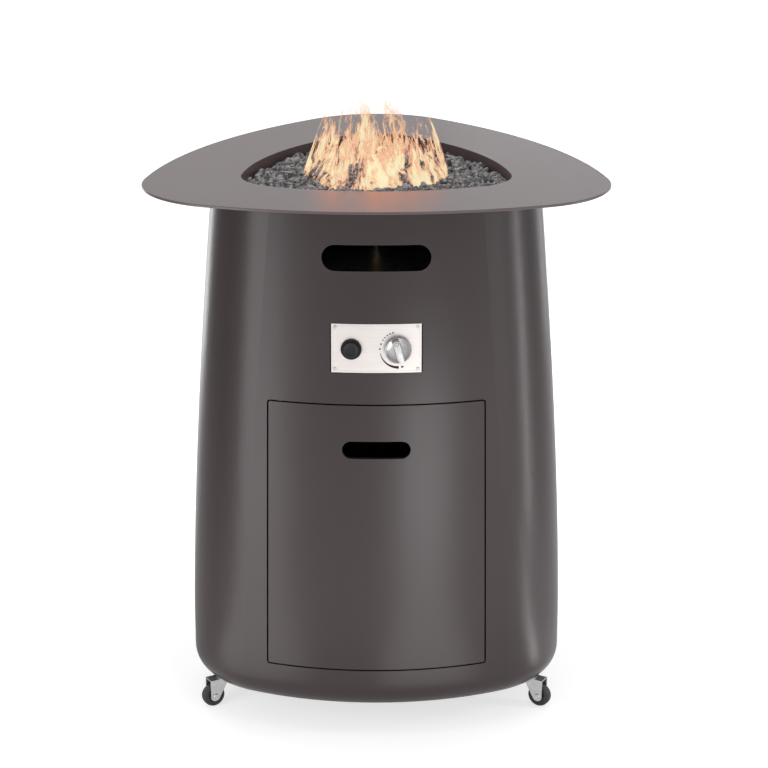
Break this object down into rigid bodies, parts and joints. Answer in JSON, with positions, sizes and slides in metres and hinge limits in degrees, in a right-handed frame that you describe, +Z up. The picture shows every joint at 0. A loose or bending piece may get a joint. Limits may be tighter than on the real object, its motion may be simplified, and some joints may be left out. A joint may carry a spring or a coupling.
{
  "type": "fire pit table",
  "caption": "Gas fire pit table: three-cornered top with a rock-filled fire opening on a tapering cabinet with door, control panel and swivel casters.",
  "frame": {"origin": "on the floor under the middle of the table top's outline", "axes": "+Z up, +Y to the back, the door and the controls face -Y, +X to the right seen from the front"},
  "size_m": [0.8736, 0.8514, 1.052],
  "materials": {
    "coated_steel": "satin warm dark grey powder coat",
    "door_coat": "satin warm dark grey powder coat",
    "top_coat": "satin warm grey powder coat",
    "stainless": "brushed stainless steel",
    "burner_steel": "heat-tinted stainless steel",
    "polished_zinc": "satin chrome on die-cast zinc",
    "black_plastic": "black moulded plastic",
    "black_coat": "matt black heat-proof coat",
    "zinc_steel": "bright zinc plate",
    "zinc_sheet": "galvanised sheet",
    "brass": "plain machined brass",
    "lava_stone": "porous grey-black stone",
    "ceramic": "white glazed ceramic",
    "nylon": "natural nylon",
    "magnet": "dark ferrite in a steel cup",
    "wheel_plastic": "black nylon wheel",
    "wheel_tyre": "black hard rubber"
  },
  "bodies": {
    "cabinet": {"table_top": "top_coat", "burner_pan": "black_coat", "burner": "burner_steel", "burner_locknut": "zinc_steel", "lava_rock": "lava_stone", "spark_electrode": "ceramic", "mixer_tube": "brass", "gas_pipe": "zinc_sheet", "pipe_fittings": "brass", "control_valve": "brass", "igniter_body": "black_plastic", "igniter_nut": "black_plastic", "control_plate": "stainless", "panel_backplate": "zinc_sheet", "panel_screws": "stainless", "body_shell": "coated_steel", "door_frame": "coated_steel", "magnet_catches": "magnet", "hinge_pins": "zinc_steel", "heat_shield": "zinc_sheet", "base_plate": "coated_steel", "bottle_ring": "zinc_sheet", "table_top_nuts": "zinc_steel", "burner_pan_nuts": "zinc_steel", "caster_nuts": "zinc_steel", "caster_front_left_stem": "zinc_steel", "caster_front_right_stem": "zinc_steel", "caster_rear_stem": "zinc_steel"},
    "door": {"door_panel": "door_coat", "hinge_bushes": "nylon"},
    "valve_stem": {"valve_stem": "zinc_steel"},
    "knob": {"knob": "polished_zinc"},
    "igniter_button": {"igniter_button": "black_plastic"},
    "caster_front_left_swivel": {"caster_front_left_fork": "zinc_steel", "caster_front_left_axle": "zinc_steel"},
    "caster_front_left_wheel": {"caster_front_left_wheel": "wheel_plastic", "caster_front_left_tyre": "wheel_tyre"},
    "caster_front_right_swivel": {"caster_front_right_fork": "zinc_steel", "caster_front_right_axle": "zinc_steel"},
    "caster_front_right_wheel": {"caster_front_right_wheel": "wheel_plastic", "caster_front_right_tyre": "wheel_tyre"},
    "caster_rear_swivel": {"caster_rear_fork": "zinc_steel", "caster_rear_axle": "zinc_steel"},
    "caster_rear_wheel": {"caster_rear_wheel": "wheel_plastic", "caster_rear_tyre": "wheel_tyre"}
  },
  "joints": [
    {"name": "door_hinge", "type": "hinge", "parent": "cabinet", "child": "door", "pos_m": [-0.1838, -0.33289, 0.1405], "axis": [-0.0126, -0.0399, -0.9991], "range_deg": [0, 105]},
    {"name": "knob_press", "type": "slide", "parent": "cabinet", "child": "valve_stem", "axis": [-0.0592, 0.9952, -0.0776], "range_m": [0, 0.003], "stiffness_N_per_m": 900},
    {"name": "knob_turn", "type": "hinge", "parent": "valve_stem", "child": "knob", "pos_m": [0.0399, -0.34012, 0.7704], "axis": [0.0592, -0.9952, 0.0776], "range_deg": [-16, 164]},
    {"name": "igniter_press", "type": "slide", "parent": "cabinet", "child": "igniter_button", "axis": [0.0688, 0.9946, -0.0775], "range_m": [0, 0.003], "stiffness_N_per_m": 1200},
    {"name": "caster_front_left_turn", "type": "hinge", "parent": "cabinet", "child": "caster_front_left_swivel", "pos_m": [-0.30259, -0.22445, 0.0575], "axis": [0, 0, 1], "continuous": true},
    {"name": "caster_front_left_roll", "type": "hinge", "parent": "caster_front_left_swivel", "child": "caster_front_left_wheel", "pos_m": [-0.32337, -0.23645, 0.0225], "axis": [0.5, -0.866, 0], "continuous": true},
    {"name": "caster_front_right_turn", "type": "hinge", "parent": "cabinet", "child": "caster_front_right_swivel", "pos_m": [0.30259, -0.22445, 0.0575], "axis": [0, 0, 1], "continuous": true},
    {"name": "caster_front_right_roll", "type": "hinge", "parent": "caster_front_right_swivel", "child": "caster_front_right_wheel", "pos_m": [0.32337, -0.23645, 0.0225], "axis": [0.5, 0.866, 0], "continuous": true},
    {"name": "caster_rear_turn", "type": "hinge", "parent": "cabinet", "child": "caster_rear_swivel", "pos_m": [0, 0.29965, 0.0575], "axis": [0, 0, 1], "continuous": true},
    {"name": "caster_rear_roll", "type": "hinge", "parent": "caster_rear_swivel", "child": "caster_rear_wheel", "pos_m": [0, 0.32365, 0.0225], "axis": [-1, 0, 0], "continuous": true}
  ]
}
